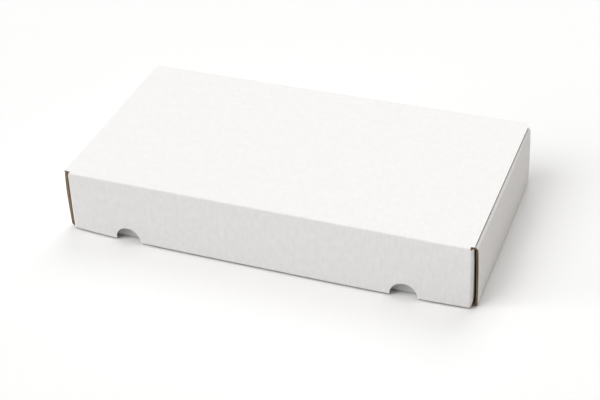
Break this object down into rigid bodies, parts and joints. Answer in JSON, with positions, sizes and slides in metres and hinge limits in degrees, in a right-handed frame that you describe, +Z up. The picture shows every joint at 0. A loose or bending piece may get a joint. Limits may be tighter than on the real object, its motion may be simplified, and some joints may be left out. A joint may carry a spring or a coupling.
{
  "type": "mailer box",
  "caption": "Shallow corrugated mailer box with a hinged lid, a front flap that hangs outside the tray with half-round thumb notches, and rolled double side walls.",
  "frame": {"origin": "centre of the footprint, on the surface that the base rests on", "axes": "+X along the box's length, to the right as seen from the front; +Y from the front flap to the lid's hinge at the back; +Z up"},
  "size_m": [0.382, 0.1974, 0.063],
  "materials": {
    "tray": "matte white liner outside, brown kraft liner inside",
    "lid": "matte white liner outside, brown kraft liner inside",
    "front_flap": "matte white liner outside, brown kraft liner inside"
  },
  "bodies": {
    "tray": {"tray": "tray"},
    "lid": {"lid": "lid"},
    "front_flap": {"front_flap": "front_flap"}
  },
  "joints": [
    {"name": "lid_hinge", "type": "hinge", "parent": "tray", "child": "lid", "pos_m": [0, 0.0971, 0.0614], "axis": [-1, 0, 0], "range_deg": [0, 110]},
    {"name": "front_flap_hinge", "type": "hinge", "parent": "lid", "child": "front_flap", "pos_m": [0, -0.0937, 0.0614], "axis": [-1, 0, 0], "range_deg": [0, 90]}
  ]
}
